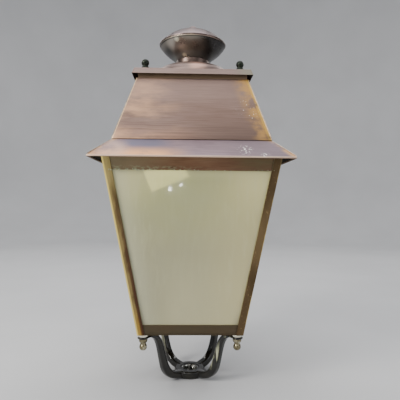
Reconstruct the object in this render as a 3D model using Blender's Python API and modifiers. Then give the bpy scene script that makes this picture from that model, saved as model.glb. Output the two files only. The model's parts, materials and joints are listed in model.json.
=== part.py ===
"""Outdoor wall lantern head on a four-arm fork.

A tapered brass cage with four frosted panes stands on a cast fork, whose hub goes onto a wall bracket.
A copper hood with a flared eave closes the cage, and a lid with a chimney cap lifts off the hood once its
four ball nuts are undone. Metres, +Z up, the front faces -Y. The origin is the middle of the hub's foot.
"""

import math

import bmesh
import bpy
from mathutils import Matrix, Vector

# Cage: a square frustum that widens upwards, measured over the outside of the corner posts.
CAGE_BOTTOM = 0.0939
CAGE_TOP = 0.3780
CAGE_BOTTOM_HALF = 0.0839
CAGE_SPREAD = 0.1768  # growth of the half width for each metre of height
POST_LEG = 0.012
BRASS_SHEET = 0.0015
GAP = 0.0003
RAIL_INSET = BRASS_SHEET + GAP
PANE_INSET = RAIL_INSET + BRASS_SHEET + GAP
PANE_THICKNESS = 0.003
RAIL_END_MARGIN = 0.0084
PANE_END_MARGIN = 0.0072
TOP_RAIL_BOTTOM = 0.351
TOP_RAIL_TOP = 0.3765
BOTTOM_RAIL_BOTTOM = 0.0962
BOTTOM_RAIL_TOP = 0.1105
LEDGE_Z = 0.1029
LEDGE_DEPTH = 0.006
LEDGE_THICKNESS = 0.0012
PANE_BOTTOM = LEDGE_Z + LEDGE_THICKNESS / 2 + GAP
PANE_TOP = 0.376
FLOOR_HALF = 0.0820

# Hood: flared eave, steep roof and the throat under the lid.
COPPER_SHEET = 0.0012
EAVE_HALF = 0.150
EAVE_Z = 0.368
EAVE_HEM = 0.0022
ROOF_BASE_HALF = 0.1203
ROOF_BASE_Z = 0.3975
ROOF_TOP_HALF = 0.0882
ROOF_TOP_Z = 0.4987
ROOF_LAP = 0.0065
THROAT_HALF = 0.0860
THROAT_Z = 0.4850
THROAT_TOP = 0.5122
THROAT_FLANGE = 0.020
SEAT_HALF = 0.1362
SEAT_OPENING = 0.108

# Lid and chimney cap.
LID_HALF = 0.0914
LID_LIP_HALF = 0.0950
LID_TOP = 0.5138
LID_LIP_Z = 0.5040
VENT_RADIUS = 0.024
COLLAR_RADIUS = 0.0294
COLLAR_TOP = 0.5539
DOME_FOOT_RADIUS = 0.070
BOWL_RADIUS = 0.0583
BOWL_RIM_Z = 0.5820
CAP_DOME_RISE = 0.0265
CAP_DOME_POWER = 2.3
KNOB_RADIUS = 0.0085
KNOB_STRAIGHT_SHARE = 0.35  # of the knob's height, below its rounded top
APEX_Z = 0.6184
SPUN_SHEET = 0.001
COLLAR_SHOWN = 0.012
COLLAR_LAP = 0.006
FLANGE_OUT_POWER = 0.9  # these two make the flange's quarter ellipse fuller
FLANGE_UP_POWER = 0.75
CAP_SHEET = 0.0012
CAP_OVERHANG = 0.0006

# Corner fasteners: M6 bolts closed with ball nuts.
BOLT_RADIUS = 0.003
BOLT_HEAD_RADIUS = 0.0046
BOLT_HEAD_HEIGHT = 0.004
HOLE_RADIUS = BOLT_RADIUS + GAP
BOLT_PAST_BALL = 0.002
BALL_RADIUS = 0.00625
BALL_BORE_PAST_CENTRE = 0.0028
NUT_NECK_RADIUS = 0.0046
NUT_RIM_RADIUS = 0.0070
NUT_RIM_HEIGHT = 0.0018
NUT_CUP_HEIGHT = 0.0060
TOP_NUT_OFFSET = 0.0758
TOP_BALL_Z = 0.5260
FOOT_NUT_OFFSET = 0.0749
FOOT_BALL_Z = 0.0740
SPACER_RADIUS = 0.0075
FOOT_TOP = 0.0900
FOOT_THICKNESS = 0.003

# Fork: hub with a threaded bush, and four arms in the diagonal planes.
HUB_RADIUS = 0.0268
HUB_HEIGHT = 0.0122
HUB_BEVEL = 0.0012
BUSH_OUTER_RADIUS = 0.0165
BUSH_BORE_RADIUS = 0.0130
BUSH_RECESS = 0.0006
ARM_SQUARENESS = 0.62  # exponent of the arms' section: 1 is an ellipse, and less is squarer

# Lamp: E27 holder on the cage floor, with a small clear globe.
HOLDER_RADIUS = 0.0185
HOLDER_TOP = 0.1453
HOLDER_WELL = 0.1094
HOLDER_SHOULDER_OUT = 0.0035
HOLDER_SHOULDER_UP = 0.0065
HOLDER_FOOT_OUT = 0.002
HOLDER_FOOT_UP = 0.004
NIPPLE_RADIUS = 0.005
NIPPLE_WALL = 0.0015
NIPPLE_REACH = 0.008
NIPPLE_NUT_RADIUS = 0.008
NIPPLE_NUT_HEIGHT = 0.0042
SHELL_RADIUS = 0.0140
SHELL_WALL = 0.0006
SHELL_BELOW_TOP = 0.003
SHELL_ABOVE_WELL = 0.004
CONTACT_RADIUS = 0.007
CONTACT_HEIGHT = 0.0015
LAMP_CAP_RADIUS = 0.0129
LAMP_TIP_RADIUS = 0.0045
LAMP_TIP_RISE = 0.0015
LAMP_TAPER_RISE = 0.006
LAMP_CAP_ABOVE_HOLDER = 0.001
GLOBE_RADIUS = 0.0225
GLOBE_Z = 0.1735
GLOBE_NECK_INSET = 0.0012
GLOBE_WALL = 0.0009
STEM_TOP_ABOVE_CENTRE = 0.008
STEM_RADIUS = 0.0025
STEM_FLARE_RADIUS = 0.008
STEM_FLARE_RISE = 0.010

# Facets round a turn, and how far a drill runs above and below the middle of its plate.
ROUND = 24
SMALL_ROUND = 12
HEXAGON = 6
DRILL_REACH = 0.004
SMOOTH_ANGLE = math.radians(50)

MATERIALS = {
    "roof_copper": ((0.16, 0.085, 0.055), 0.42, 1.0),
    "eave_copper": ((0.30, 0.19, 0.17), 0.45, 1.0),
    "cage_brass": ((0.30, 0.19, 0.08), 0.40, 1.0),
    "rail_bronze": ((0.10, 0.055, 0.035), 0.50, 1.0),
    "frosted_glass": ((0.62, 0.63, 0.58), 0.25, 0.0),
    "black_enamel": ((0.012, 0.012, 0.015), 0.15, 0.0),
    "zinc_steel": ((0.55, 0.56, 0.56), 0.35, 1.0),
    "aged_nickel": ((0.50, 0.45, 0.36), 0.25, 1.0),
    "dark_bronze": ((0.035, 0.03, 0.025), 0.22, 1.0),
    "cap_copper": ((0.42, 0.29, 0.24), 0.35, 1.0),
    "porcelain": ((0.85, 0.84, 0.80), 0.15, 0.0),
    "lamp_brass": ((0.60, 0.45, 0.20), 0.30, 1.0),
    "clear_glass": ((0.90, 0.92, 0.92), 0.05, 0.0),
}

CORNERS = {"front_left": (-1, -1), "front_right": (1, -1), "back_right": (1, 1), "back_left": (-1, 1)}
SIDES = {"front": 0, "right": 1, "back": 2, "left": 3}


def clear_scene():
    for obj in list(bpy.data.objects):
        bpy.data.objects.remove(obj)


def new_collection(name, hidden=False):
    group = bpy.data.collections.new(name)
    bpy.context.scene.collection.children.link(group)
    group.hide_render = hidden
    return group


def new_material(name):
    colour, roughness, metallic = MATERIALS[name]
    found = bpy.data.materials.get(name) or bpy.data.materials.new(name)
    found.use_nodes = True
    shader = found.node_tree.nodes["Principled BSDF"]
    shader.inputs["Base Color"].default_value = (*colour, 1.0)
    shader.inputs["Roughness"].default_value = roughness
    shader.inputs["Metallic"].default_value = metallic
    found.diffuse_color = (*colour, 1.0)
    return found


def add_part(name, mesh, material):
    obj = bpy.data.objects.new(name, mesh)
    mesh.materials.clear()
    mesh.materials.append(new_material(material))
    parts.objects.link(obj)
    return obj


def make_cutter(obj):
    """Turn an object into a helper that only shapes another one."""
    for group in list(obj.users_collection):
        group.objects.unlink(obj)
    cutters.objects.link(obj)
    obj.hide_render = True
    obj.display_type = "WIRE"
    return obj


def combine(target, other, operation):
    cut = target.modifiers.new(f"{operation.lower()}_{other.name}", "BOOLEAN")
    cut.operation = operation
    cut.object = make_cutter(other)


def quarter_ellipse(centre, out, up, steps, out_power=1.0, up_power=1.0):
    """Profile points from the top of a quarter ellipse down to its side."""
    radius, height = centre
    arc = [math.radians(90) * step / steps for step in range(steps + 1)]
    sides = [radius + out * abs(math.sin(a)) ** out_power for a in arc]
    heights = [height + up * abs(math.cos(a)) ** up_power for a in arc]
    return list(zip(sides, heights))


def turned(name, profile, material, steps=ROUND, loop=False):
    """Turn a profile of (radius, height) points about Z. It runs down its outer side."""
    mesh = bpy.data.meshes.new(name)
    edges = [(i, i + 1) for i in range(len(profile) - 1)]
    if loop:
        edges.append((len(profile) - 1, 0))
    mesh.from_pydata([(radius, 0, height) for radius, height in profile], edges, [])
    obj = add_part(name, mesh, material)
    screw = obj.modifiers.new("turn", "SCREW")
    screw.steps = steps
    screw.render_steps = steps
    screw.use_merge_vertices = True
    screw.merge_threshold = 0.00001
    screw.use_smooth_shade = False
    return obj


def squared(name, profile, material, loop=False):
    """The same for a square piece: the first number of each point is half the width across its flats."""
    diagonal = [(half * math.sqrt(2), height) for half, height in profile]
    obj = turned(name, diagonal, material, steps=4, loop=loop)
    obj.rotation_euler.z = math.radians(45)
    return obj


def drill(target, radius, height, centres, sides=SMALL_ROUND):
    """Cut upright round holes at each (x, y) centre, through a plate at this height."""
    shape = bmesh.new()
    for x, y in centres:
        bmesh.ops.create_cone(
            shape,
            cap_ends=True,
            segments=sides,
            radius1=radius,
            radius2=radius,
            depth=2 * DRILL_REACH,
            matrix=Matrix.Translation((x, y, height)),
        )
    mesh = bpy.data.meshes.new(f"{target.name}_drill_{sides}")
    shape.to_mesh(mesh)
    shape.free()
    combine(target, add_part(mesh.name, mesh, "zinc_steel"), "DIFFERENCE")


def corner_centres(offset):
    return [(x * offset, y * offset) for x, y in CORNERS.values()]


def cage_half(height):
    return CAGE_BOTTOM_HALF + (height - CAGE_BOTTOM) * CAGE_SPREAD


def leaning_plate(name, side, low, high, inset, end_margin, thickness, material):
    """A flat plate that lies in one leaning side of the cage, its outer face set back from the posts."""
    rows = [(height, cage_half(height)) for height in (low, high)]
    (z0, half0), (z1, half1) = rows
    points = [
        (-half0 + end_margin, -half0 + inset, z0),
        (half0 - end_margin, -half0 + inset, z0),
        (half1 - end_margin, -half1 + inset, z1),
        (-half1 + end_margin, -half1 + inset, z1),
    ]
    mesh = bpy.data.meshes.new(name)
    mesh.from_pydata(points, [], [(0, 1, 2, 3)])
    obj = add_part(name, mesh, material)
    obj.rotation_euler.z = math.radians(90) * SIDES[side]
    solid = obj.modifiers.new("sheet", "SOLIDIFY")
    solid.thickness = thickness
    solid.offset = -1
    return obj


def corner_post(corner):
    """An angle section that follows one leaning edge of the cage."""
    x, y = CORNERS[corner]
    half = CAGE_BOTTOM_HALF
    outline = [
        (half, half),
        (half - POST_LEG, half),
        (half - POST_LEG, half - BRASS_SHEET),
        (half - BRASS_SHEET, half - BRASS_SHEET),
        (half - BRASS_SHEET, half - POST_LEG),
        (half, half - POST_LEG),
    ]
    shape = bmesh.new()
    face = shape.faces.new([shape.verts.new((x * px, y * py, CAGE_BOTTOM)) for px, py in outline])
    raised = bmesh.ops.extrude_face_region(shape, geom=[face])
    height = CAGE_TOP - CAGE_BOTTOM
    lean = Vector((x * CAGE_SPREAD * height, y * CAGE_SPREAD * height, height))
    moved = [item for item in raised["geom"] if isinstance(item, bmesh.types.BMVert)]
    bmesh.ops.translate(shape, verts=moved, vec=lean)
    bmesh.ops.recalc_face_normals(shape, faces=shape.faces)
    mesh = bpy.data.meshes.new(f"corner_post_{corner}")
    shape.to_mesh(mesh)
    shape.free()
    return add_part(f"corner_post_{corner}", mesh, "cage_brass")


def rail_plate(name, side, low, high):
    return leaning_plate(name, side, low, high, RAIL_INSET, RAIL_END_MARGIN, BRASS_SHEET, "rail_bronze")


def bottom_rail(side):
    """The lower rail of one side, with the inner ledge that its pane stands on."""
    name = f"bottom_rail_{side}"
    rail = rail_plate(name, side, BOTTOM_RAIL_BOTTOM, BOTTOM_RAIL_TOP)
    front = cage_half(LEDGE_Z) - RAIL_INSET - BRASS_SHEET / 2
    half_length = cage_half(LEDGE_Z) - 2 * RAIL_END_MARGIN
    shape = bmesh.new()
    size = Matrix.Diagonal((2 * half_length, LEDGE_DEPTH, LEDGE_THICKNESS, 1))
    bmesh.ops.create_cube(shape, matrix=Matrix.Translation((0, -front + LEDGE_DEPTH / 2, LEDGE_Z)) @ size)
    mesh = bpy.data.meshes.new(f"{name}_ledge")
    shape.to_mesh(mesh)
    shape.free()
    ledge = add_part(f"{name}_ledge", mesh, "rail_bronze")
    ledge.rotation_euler.z = rail.rotation_euler.z
    combine(rail, ledge, "UNION")


def build_cage():
    for corner in CORNERS:
        corner_post(corner)
    for side in SIDES:
        rail_plate(f"top_rail_{side}", side, TOP_RAIL_BOTTOM, TOP_RAIL_TOP)
        bottom_rail(side)
        pane = (f"glass_pane_{side}", side, PANE_BOTTOM, PANE_TOP)
        leaning_plate(*pane, PANE_INSET, PANE_END_MARGIN, PANE_THICKNESS, "frosted_glass")
    top = CAGE_BOTTOM + BRASS_SHEET
    outline = [(0, top), (FLOOR_HALF, top), (FLOOR_HALF, CAGE_BOTTOM), (0, CAGE_BOTTOM)]
    floor = squared("floor_plate", outline, "rail_bronze")
    drill(floor, HOLE_RADIUS, top, corner_centres(FOOT_NUT_OFFSET))
    drill(floor, NIPPLE_RADIUS + GAP, top, [(0, 0)], sides=ROUND)


def build_hood():
    flare = (EAVE_HALF - ROOF_BASE_HALF) / (ROOF_BASE_Z - EAVE_Z - EAVE_HEM)
    pitch = (ROOF_BASE_HALF - ROOF_TOP_HALF) / (ROOF_TOP_Z - ROOF_BASE_Z)
    flare_wall = COPPER_SHEET * math.hypot(1, flare)
    roof_wall = COPPER_SHEET * math.hypot(1, pitch)
    lap_foot = ROOF_BASE_HALF - roof_wall - GAP
    lap_head = lap_foot - ROOF_LAP * pitch
    lap_top = ROOF_BASE_Z + ROOF_LAP
    eave = [
        (lap_head, lap_top),
        (lap_foot, ROOF_BASE_Z),
        (ROOF_BASE_HALF, ROOF_BASE_Z - GAP),
        (EAVE_HALF, EAVE_Z + EAVE_HEM),
        (EAVE_HALF, EAVE_Z),
        (EAVE_HALF - COPPER_SHEET, EAVE_Z),
        (EAVE_HALF - COPPER_SHEET, EAVE_Z + EAVE_HEM - COPPER_SHEET / 2),
        (lap_foot - COPPER_SHEET, ROOF_BASE_Z - flare_wall / flare),
        (lap_head - COPPER_SHEET, lap_top),
    ]
    squared("eave_skirt", eave, "eave_copper", loop=True)
    turn_in = THROAT_HALF + GAP
    roof = [
        (turn_in, ROOF_TOP_Z),
        (ROOF_TOP_HALF, ROOF_TOP_Z),
        (ROOF_BASE_HALF, ROOF_BASE_Z + GAP),
        (ROOF_BASE_HALF - roof_wall, ROOF_BASE_Z + GAP),
        (ROOF_TOP_HALF - roof_wall + COPPER_SHEET * pitch, ROOF_TOP_Z - COPPER_SHEET),
        (turn_in, ROOF_TOP_Z - COPPER_SHEET),
    ]
    squared("roof_shell", roof, "roof_copper", loop=True)
    wall = THROAT_HALF - COPPER_SHEET
    throat_outline = [
        (THROAT_HALF, THROAT_TOP),
        (THROAT_HALF, THROAT_Z),
        (wall, THROAT_Z),
        (wall, THROAT_TOP - COPPER_SHEET),
        (THROAT_HALF - THROAT_FLANGE, THROAT_TOP - COPPER_SHEET),
        (THROAT_HALF - THROAT_FLANGE, THROAT_TOP),
    ]
    throat = squared("roof_throat", throat_outline, "rail_bronze", loop=True)
    drill(throat, HOLE_RADIUS, THROAT_TOP, corner_centres(TOP_NUT_OFFSET))
    seat_bottom = CAGE_TOP + GAP
    seat_outline = [
        (SEAT_HALF, seat_bottom + BRASS_SHEET),
        (SEAT_HALF, seat_bottom),
        (SEAT_OPENING, seat_bottom),
        (SEAT_OPENING, seat_bottom + BRASS_SHEET),
    ]
    squared("hood_seat_ring", seat_outline, "rail_bronze", loop=True)


def shell_loop(outline, wall):
    """Close a turned outline, given down its outside, with an inner side one wall thickness in."""
    inner = []
    for index, (radius, height) in enumerate(outline):
        before = Vector(outline[max(index - 1, 0)])
        after = Vector(outline[min(index + 1, len(outline) - 1)])
        run = (after - before).normalized()
        inner.append((radius + run.y * wall, height - run.x * wall))
    return outline + inner[::-1]


def build_lid():
    lip_run = Vector((LID_LIP_HALF - LID_HALF, LID_TOP - LID_LIP_Z))
    lip_wall = COPPER_SHEET * lip_run.length / lip_run.y
    tray = [
        (0, LID_TOP),
        (LID_HALF, LID_TOP),
        (LID_LIP_HALF, LID_LIP_Z),
        (LID_LIP_HALF - lip_wall, LID_LIP_Z),
        (LID_HALF - lip_wall + COPPER_SHEET * lip_run.x / lip_run.y, LID_TOP - COPPER_SHEET),
        (0, LID_TOP - COPPER_SHEET),
    ]
    lid = squared("lid_tray", tray, "eave_copper")
    drill(lid, HOLE_RADIUS + GAP, LID_TOP, corner_centres(TOP_NUT_OFFSET))
    drill(lid, VENT_RADIUS, LID_TOP, [(0, 0)], sides=ROUND)
    foot = LID_TOP + GAP
    dome_top = COLLAR_TOP - COLLAR_SHOWN
    inner_radius = COLLAR_RADIUS + GAP
    spread = DOME_FOOT_RADIUS - inner_radius
    powers = (FLANGE_OUT_POWER, FLANGE_UP_POWER)
    dome = quarter_ellipse((inner_radius, foot), spread, dome_top - foot, 8, *powers)
    turned("vent_flange", shell_loop(dome, SPUN_SHEET), "eave_copper", loop=True)
    collar_foot = dome_top - COLLAR_LAP
    collar = [
        (COLLAR_RADIUS, COLLAR_TOP),
        (COLLAR_RADIUS, collar_foot),
        (COLLAR_RADIUS - SPUN_SHEET, collar_foot),
        (COLLAR_RADIUS - SPUN_SHEET, COLLAR_TOP),
    ]
    turned("vent_collar", collar, "cap_copper", loop=True)
    build_cap()


def build_cap():
    """The round chimney cap: a bowl on the collar, a shallow dome on the bowl's rim and a knob."""
    floor = COLLAR_TOP + GAP
    height = BOWL_RIM_Z - floor
    spread = BOWL_RADIUS - COLLAR_RADIUS
    shares = [(0.0, 0.0), (0.12, 0.11), (0.30, 0.26), (0.60, 0.50), (0.83, 0.75), (0.95, 0.90), (1.0, 1.0)]
    bowl = [(COLLAR_RADIUS + spread * out, floor + height * up) for out, up in reversed(shares)]
    bowl.append((VENT_RADIUS, floor))
    turned("cap_bowl", shell_loop(bowl, SPUN_SHEET), "dark_bronze", loop=True)
    dome_base = BOWL_RIM_Z + GAP + CAP_SHEET
    edge = BOWL_RADIUS + CAP_OVERHANG
    radii = [edge * step / 9 for step in range(10)]
    dome = [(r, dome_base + CAP_DOME_RISE * (1 - (r / edge) ** CAP_DOME_POWER)) for r in radii]
    under = [(r, z - CAP_SHEET) for r, z in dome]
    turned("cap_dome", dome + under[::-1], "cap_copper")
    knob_foot = dome_base + CAP_DOME_RISE + GAP
    shoulder = knob_foot + (APEX_Z - knob_foot) * KNOB_STRAIGHT_SHARE
    knob = quarter_ellipse((0, shoulder), KNOB_RADIUS, APEX_Z - shoulder, 5)
    knob += [(KNOB_RADIUS, knob_foot), (0, knob_foot)]
    turned("cap_knob", knob, "cap_copper", steps=SMALL_ROUND)


def ball_nut(name, corner, offset, seat, ball, material):
    """A ball nut on a bolt: a rimmed cup on the seat, a short neck and a ball with a blind bore."""
    x, y = CORNERS[corner]
    length = abs(ball - seat)
    bore_end = length + BALL_BORE_PAST_CENTRE
    neck_arc = math.pi - math.asin(NUT_NECK_RADIUS / BALL_RADIUS)
    arc = [neck_arc * step / 8 for step in range(9)]
    profile = [(BALL_RADIUS * math.sin(a), length + BALL_RADIUS * math.cos(a)) for a in arc]
    cup_out = NUT_RIM_RADIUS - NUT_NECK_RADIUS
    cup_up = NUT_CUP_HEIGHT - NUT_RIM_HEIGHT
    profile += quarter_ellipse((NUT_NECK_RADIUS, NUT_RIM_HEIGHT), cup_out, cup_up, 4)
    profile += [
        (NUT_RIM_RADIUS, 0),
        (HOLE_RADIUS, 0),
        (HOLE_RADIUS, bore_end),
        (0, bore_end),
    ]
    nut = turned(name, profile, material, steps=SMALL_ROUND)
    nut.location = (x * offset, y * offset, seat)
    if ball < seat:
        nut.rotation_euler.x = math.radians(180)


def corner_bolt(name, corner, offset, head_face, tip):
    """A round-headed bolt from the head's seat to its tip, either way up."""
    x, y = CORNERS[corner]
    length = abs(tip - head_face)
    profile = [
        (0, length),
        (BOLT_RADIUS, length),
        (BOLT_RADIUS, 0),
        (BOLT_HEAD_RADIUS, 0),
        (BOLT_HEAD_RADIUS, -BOLT_HEAD_HEIGHT),
        (0, -BOLT_HEAD_HEIGHT),
    ]
    bolt = turned(name, profile, "zinc_steel", steps=SMALL_ROUND)
    bolt.location = (x * offset, y * offset, head_face)
    if tip < head_face:
        bolt.rotation_euler.x = math.radians(180)


def build_fasteners():
    """The four bolts that clamp the lid, and the four that clamp the fork's feet under the cage floor."""
    spacer = [
        (SPACER_RADIUS, CAGE_BOTTOM - GAP),
        (SPACER_RADIUS, FOOT_TOP + GAP),
        (HOLE_RADIUS, FOOT_TOP + GAP),
        (HOLE_RADIUS, CAGE_BOTTOM - GAP),
    ]
    flange_bottom = THROAT_TOP - COPPER_SHEET - GAP
    lid_seat = LID_TOP + GAP
    floor_top = CAGE_BOTTOM + BRASS_SHEET + GAP
    foot_seat = FOOT_TOP - FOOT_THICKNESS - GAP
    top_nut = (TOP_NUT_OFFSET, lid_seat, TOP_BALL_Z, "dark_bronze")
    foot_nut = (FOOT_NUT_OFFSET, foot_seat, FOOT_BALL_Z, "aged_nickel")
    for corner, (x, y) in CORNERS.items():
        corner_bolt(f"top_bolt_{corner}", corner, TOP_NUT_OFFSET, flange_bottom, TOP_BALL_Z + BOLT_PAST_BALL)
        ball_nut(f"top_ball_nut_{corner}", corner, *top_nut)
        corner_bolt(f"foot_bolt_{corner}", corner, FOOT_NUT_OFFSET, floor_top, FOOT_BALL_Z - BOLT_PAST_BALL)
        ball_nut(f"foot_ball_nut_{corner}", corner, *foot_nut)
        ring = turned(f"foot_spacer_{corner}", spacer, "aged_nickel", steps=SMALL_ROUND, loop=True)
        ring.location = (x * FOOT_NUT_OFFSET, y * FOOT_NUT_OFFSET, 0)


def catmull_rom(before, start, end, after, t):
    """The value at t, from 0 to 1, between start and end."""
    slope = end - before
    bend = 2 * before - 5 * start + 4 * end - after
    twist = 3 * start - before - 3 * end + after
    return 0.5 * (2 * start + slope * t + bend * t**2 + twist * t**3)


def smooth_path(points, steps):
    """A smooth curve through the points, each a tuple of any length."""
    ends = [points[0], *points, points[-1]]
    path = []
    for near in zip(ends, ends[1:], ends[2:], ends[3:]):
        for step in range(steps):
            path.append([catmull_rom(*values, step / steps) for values in zip(*near)])
    path.append(list(points[-1]))
    return path


def rounded_section(depth, width, count=10):
    """Points round a rectangle with soft corners, (across the arm's depth, across its width)."""
    points = []
    for index in range(count):
        angle = math.tau * (index + 0.5) / count
        out = math.copysign(abs(math.cos(angle)) ** ARM_SQUARENESS, math.cos(angle))
        side = math.copysign(abs(math.sin(angle)) ** ARM_SQUARENESS, math.sin(angle))
        points.append((out * depth / 2, side * width / 2))
    return points


def fork_arm(corner):
    """One cast arm: a flat foot under the cage corner, an elbow, and a sweep down into the hub."""
    foot = FOOT_NUT_OFFSET * math.sqrt(2)
    flat = FOOT_TOP - FOOT_THICKNESS / 2
    stations = [  # distance from the axis, height, depth, width
        (foot + 0.0088, flat, FOOT_THICKNESS, 0.005),
        (foot + 0.0070, flat, FOOT_THICKNESS, 0.011),
        (foot, flat, FOOT_THICKNESS, 0.0165),
        (foot - 0.008, flat, FOOT_THICKNESS + 0.0002, 0.0135),
        (foot - 0.015, flat - 0.0007, 0.0048, 0.0115),
        (0.0815, 0.0842, 0.0085, 0.0105),
        (0.0748, 0.0765, 0.0105, 0.0105),
        (0.0706, 0.0660, 0.0108, 0.0110),
        (0.0670, 0.0535, 0.0114, 0.0116),
        (0.0632, 0.0400, 0.0122, 0.0122),
        (0.0588, 0.0275, 0.0132, 0.0130),
        (0.0516, 0.0175, 0.0132, 0.0134),
        (0.0400, 0.0104, 0.0124, 0.0138),
        (0.0200, 0.0066, 0.0120, 0.0144),
    ]
    x, y = CORNERS[corner]
    outward = Vector((x, y, 0)).normalized()
    across = Vector((-y, x, 0)).normalized()
    path = smooth_path(stations, 2)
    shape = bmesh.new()
    rings = []
    for index, (reach, height, depth, width) in enumerate(path):
        before = path[max(index - 1, 0)]
        after = path[min(index + 1, len(path) - 1)]
        run = (outward * (after[0] - before[0]) + Vector((0, 0, after[1] - before[1]))).normalized()
        normal = run.cross(across)
        centre = outward * reach + Vector((0, 0, height))
        section = rounded_section(depth, width)
        rings.append([shape.verts.new(centre + normal * u + across * v) for u, v in section])
    for first, second in zip(rings, rings[1:]):
        for index in range(len(first)):
            following = (index + 1) % len(first)
            shape.faces.new((first[index], first[following], second[following], second[index]))
    shape.faces.new(rings[0])
    shape.faces.new(rings[-1])
    bmesh.ops.recalc_face_normals(shape, faces=shape.faces)
    mesh = bpy.data.meshes.new(f"fork_arm_{corner}")
    shape.to_mesh(mesh)
    shape.free()
    return add_part(f"fork_arm_{corner}", mesh, "black_enamel")


def build_fork():
    bore = BUSH_OUTER_RADIUS + GAP
    outline = [
        (HUB_RADIUS - HUB_BEVEL, HUB_HEIGHT),
        (HUB_RADIUS, HUB_HEIGHT - HUB_BEVEL),
        (HUB_RADIUS, HUB_BEVEL),
        (HUB_RADIUS - HUB_BEVEL, 0),
        (bore, 0),
        (bore, HUB_HEIGHT),
    ]
    fork = turned("fork", outline, "black_enamel", loop=True)
    for corner in CORNERS:
        combine(fork, fork_arm(corner), "UNION")
    drill(fork, HOLE_RADIUS, FOOT_TOP - FOOT_THICKNESS / 2, corner_centres(FOOT_NUT_OFFSET))
    bush_top = HUB_HEIGHT - BUSH_RECESS
    bush = [
        (BUSH_OUTER_RADIUS, bush_top),
        (BUSH_OUTER_RADIUS, BUSH_RECESS),
        (BUSH_BORE_RADIUS, BUSH_RECESS),
        (BUSH_BORE_RADIUS, bush_top),
    ]
    turned("fork_bush", bush, "zinc_steel", loop=True)


def build_lampholder():
    floor = CAGE_BOTTOM + BRASS_SHEET
    nipple = [
        (NIPPLE_RADIUS, floor + NIPPLE_REACH),
        (NIPPLE_RADIUS, CAGE_BOTTOM - NIPPLE_REACH),
        (NIPPLE_RADIUS - NIPPLE_WALL, CAGE_BOTTOM - NIPPLE_REACH),
        (NIPPLE_RADIUS - NIPPLE_WALL, floor + NIPPLE_REACH),
    ]
    turned("lampholder_nipple", nipple, "lamp_brass", steps=SMALL_ROUND, loop=True)
    nut_top = CAGE_BOTTOM - GAP
    nut_bottom = nut_top - NIPPLE_NUT_HEIGHT
    nut = [(0, nut_top), (NIPPLE_NUT_RADIUS, nut_top), (NIPPLE_NUT_RADIUS, nut_bottom), (0, nut_bottom)]
    hexagon = turned("nipple_nut", nut, "lamp_brass", steps=HEXAGON)
    drill(hexagon, NIPPLE_RADIUS + GAP, (nut_top + nut_bottom) / 2, [(0, 0)], sides=ROUND)
    base = floor + GAP
    shoulder = (HOLDER_RADIUS - HOLDER_SHOULDER_OUT, HOLDER_TOP - HOLDER_SHOULDER_UP)
    holder = [
        (SHELL_RADIUS + GAP, HOLDER_TOP),
        *quarter_ellipse(shoulder, HOLDER_SHOULDER_OUT, HOLDER_SHOULDER_UP, 3),
        (HOLDER_RADIUS, base + HOLDER_FOOT_UP),
        (HOLDER_RADIUS - HOLDER_FOOT_OUT, base),
        (NIPPLE_RADIUS + GAP, base),
        (NIPPLE_RADIUS + GAP, HOLDER_WELL),
        (SHELL_RADIUS + GAP, HOLDER_WELL),
    ]
    turned("lampholder", holder, "porcelain", loop=True)
    shell_top = HOLDER_TOP - SHELL_BELOW_TOP
    shell_foot = HOLDER_WELL + SHELL_ABOVE_WELL
    shell = [
        (SHELL_RADIUS, shell_top),
        (SHELL_RADIUS, shell_foot),
        (SHELL_RADIUS - SHELL_WALL, shell_foot),
        (SHELL_RADIUS - SHELL_WALL, shell_top),
    ]
    turned("lampholder_thread", shell, "lamp_brass", loop=True)
    top = HOLDER_WELL + CONTACT_HEIGHT
    foot = HOLDER_WELL + GAP
    contact = [(0, top), (CONTACT_RADIUS, top), (CONTACT_RADIUS, foot), (0, foot)]
    turned("centre_contact", contact, "lamp_brass")


def build_lamp():
    cap_foot = HOLDER_WELL + CONTACT_HEIGHT + GAP
    cap_top = HOLDER_TOP + LAMP_CAP_ABOVE_HOLDER
    cap = [
        (0, cap_top),
        (LAMP_CAP_RADIUS, cap_top),
        (LAMP_CAP_RADIUS, cap_foot + LAMP_TAPER_RISE),
        (LAMP_TIP_RADIUS, cap_foot + LAMP_TIP_RISE),
        (LAMP_TIP_RADIUS, cap_foot),
        (0, cap_foot),
    ]
    turned("lamp_cap", cap, "lamp_brass")
    neck_foot = cap_top + GAP
    neck = LAMP_CAP_RADIUS - GLOBE_NECK_INSET
    neck_arc = math.pi - math.asin(neck / GLOBE_RADIUS)
    arc = [neck_arc * step / 10 for step in range(11)]
    outer = [(GLOBE_RADIUS * math.sin(a), GLOBE_Z + GLOBE_RADIUS * math.cos(a)) for a in arc]
    hollow_radius = GLOBE_RADIUS - GLOBE_WALL
    inner = [(hollow_radius * math.sin(a), GLOBE_Z + hollow_radius * math.cos(a)) for a in arc]
    ends = [(neck, neck_foot), (neck - GLOBE_WALL, neck_foot)]
    turned("lamp_globe", outer + ends + inner[::-1], "clear_glass")
    stem_top = GLOBE_Z + STEM_TOP_ABOVE_CENTRE
    stem = [
        (0, stem_top),
        (STEM_RADIUS, stem_top),
        (STEM_RADIUS, neck_foot + STEM_FLARE_RISE),
        (STEM_FLARE_RADIUS, neck_foot),
        (0, neck_foot),
    ]
    turned("lamp_stem", stem, "clear_glass", steps=SMALL_ROUND)


def apply_modifiers(obj):
    """Settle the object's shape into its own mesh, smooth but for its clear edges."""
    graph = bpy.context.evaluated_depsgraph_get()
    mesh = bpy.data.meshes.new_from_object(obj.evaluated_get(graph))
    obj.modifiers.clear()
    obj.data = mesh
    mesh.name = obj.name
    mesh.shade_smooth()
    mesh.set_sharp_from_angle(angle=SMOOTH_ANGLE)


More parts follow.
